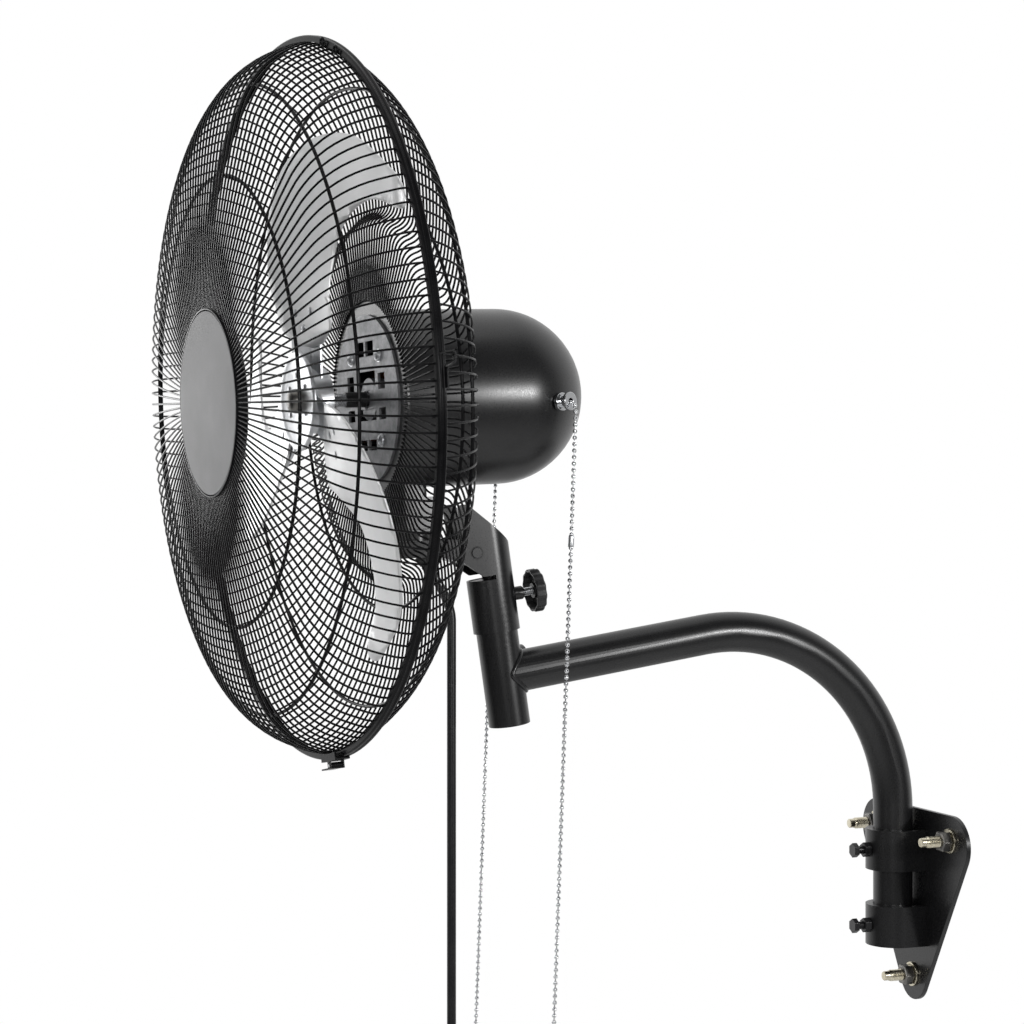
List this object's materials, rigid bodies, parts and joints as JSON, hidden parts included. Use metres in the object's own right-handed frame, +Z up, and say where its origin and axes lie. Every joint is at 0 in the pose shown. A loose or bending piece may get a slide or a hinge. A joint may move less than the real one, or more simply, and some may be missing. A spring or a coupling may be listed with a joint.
{
  "type": "wall mounted fan",
  "caption": "Oscillating wall fan: domed wire guards round three blades, a round motor on a tilting neck, and a bent tube arm clamped to a triangular wall plate, with pull chains and a lead.",
  "frame": {"origin": "midway between the two upper wall bolt holes, on the wall face of the plate", "axes": "+Z up the wall, -Y out into the room towards the fan, +X to the right of someone who looks at the wall"},
  "size_m": [0.6623, 0.7521, 1.2304],
  "materials": {
    "black_coat": "semi-gloss powder coat",
    "black_plastic": "matt",
    "zinc": "zinc plated",
    "bare_steel": "machined",
    "laminations": "laminated",
    "copper": "enamelled wire",
    "aluminium": "rolled sheet",
    "grey_disc": "plain satin",
    "chrome": "polished",
    "rubber": "matt",
    "lead_sheath": "satin sheath",
    "pale_plastic": "moulded",
    "plug_pin": "plain"
  },
  "bodies": {
    "wall_bracket": {"wall_plate": "black_coat", "clamp_collars": "black_coat", "collar_screws": "zinc", "collar_nuts": "zinc"},
    "arm": {"arm_tube": "black_coat", "post_tube": "black_coat", "post_stub": "black_coat"},
    "neck": {"neck_yoke": "black_coat", "knob_boss": "black_coat", "tilt_bolt": "bare_steel", "pivot_bushes": "bare_steel", "power_lead": "lead_sheath", "lead_hank": "lead_sheath", "hank_tie": "black_plastic", "plug_body": "black_plastic", "plug_pins": "plug_pin"},
    "knob": {"clamp_knob": "black_plastic", "clamp_screw": "zinc"},
    "tilt_bracket": {"tilt_bracket": "black_coat", "swivel_pin": "bare_steel", "strain_relief": "rubber"},
    "motor_head": {"gear_case": "black_coat", "case_cover": "black_coat", "motor_shell": "black_coat", "motor_face": "black_coat", "rear_plate": "black_coat", "stator_core": "laminations", "stator_windings": "copper", "front_bearing": "bare_steel", "rear_bearing": "bare_steel", "tie_bolts": "zinc", "capacitor": "zinc", "pull_switches": "pale_plastic", "chain_nozzles": "chrome", "front_guard_wires": "black_coat", "rear_guard_wires": "black_coat", "front_guard_rings": "black_coat", "rear_guard_rings": "black_coat", "guard_hoop": "black_coat", "guard_mount_ring": "black_coat", "badge_cup": "black_coat", "badge_disc": "grey_disc", "guard_clips": "black_coat", "lever_pin": "bare_steel"},
    "rotor": {"rotor_core": "laminations", "motor_shaft": "bare_steel", "blade_spider": "aluminium", "blade_1": "aluminium", "blade_2": "aluminium", "blade_3": "aluminium", "blade_rivets": "aluminium"},
    "hoop_lever": {"clip_lever": "black_coat"},
    "near_pull": {"near_chain": "chrome", "near_chain_handle": "pale_plastic"},
    "far_pull": {"far_chain": "chrome", "far_chain_handle": "pale_plastic"}
  },
  "joints": [
    {"name": "arm_turn", "type": "hinge", "parent": "wall_bracket", "child": "arm", "pos_m": [0, -0.028, 0], "axis": [0, 0, 1], "range_deg": [-45, 45]},
    {"name": "neck_turn", "type": "hinge", "parent": "arm", "child": "neck", "pos_m": [0, -0.44593, 0.1244], "axis": [0, -0.1444, 0.9895], "range_deg": [-40, 40]},
    {"name": "knob_turn", "type": "hinge", "parent": "neck", "child": "knob", "pos_m": [0, -0.44398, 0.24959], "axis": [0, 0.9895, 0.1444], "range_deg": [0, 720]},
    {"name": "head_tilt", "type": "hinge", "parent": "neck", "child": "tilt_bracket", "pos_m": [0, -0.487, 0.2897], "axis": [1, 0, 0], "range_deg": [-15, 12], "deforming": ["power_lead"]},
    {"name": "head_swing", "type": "hinge", "parent": "tilt_bracket", "child": "motor_head", "pos_m": [0, -0.54235, 0.28728], "axis": [0, -0.0436, 0.999], "range_deg": [-49.9, 40.1]},
    {"name": "fan_spin", "type": "hinge", "parent": "motor_head", "child": "rotor", "pos_m": [0.00923, -0.65632, 0.4308], "axis": [-0.0854, 0.9954, 0.0435], "continuous": true},
    {"name": "clip_lever", "type": "hinge", "parent": "motor_head", "child": "hoop_lever", "pos_m": [0.06743, -0.63689, 0.10004], "axis": [-0.0854, 0.9954, 0.0435], "range_deg": [-80, 0]},
    {"name": "near_pull", "type": "slide", "parent": "motor_head", "child": "near_pull", "axis": [0, -0.0384, -0.9993], "range_m": [0, 0.01], "stiffness_N_per_m": 600, "springref_m": -0.004, "deforming": ["near_chain"]},
    {"name": "far_pull", "type": "slide", "parent": "motor_head", "child": "far_pull", "axis": [0, -0.0384, -0.9993], "range_m": [0, 0.01], "stiffness_N_per_m": 600, "springref_m": -0.004, "deforming": ["far_chain"]}
  ]
}
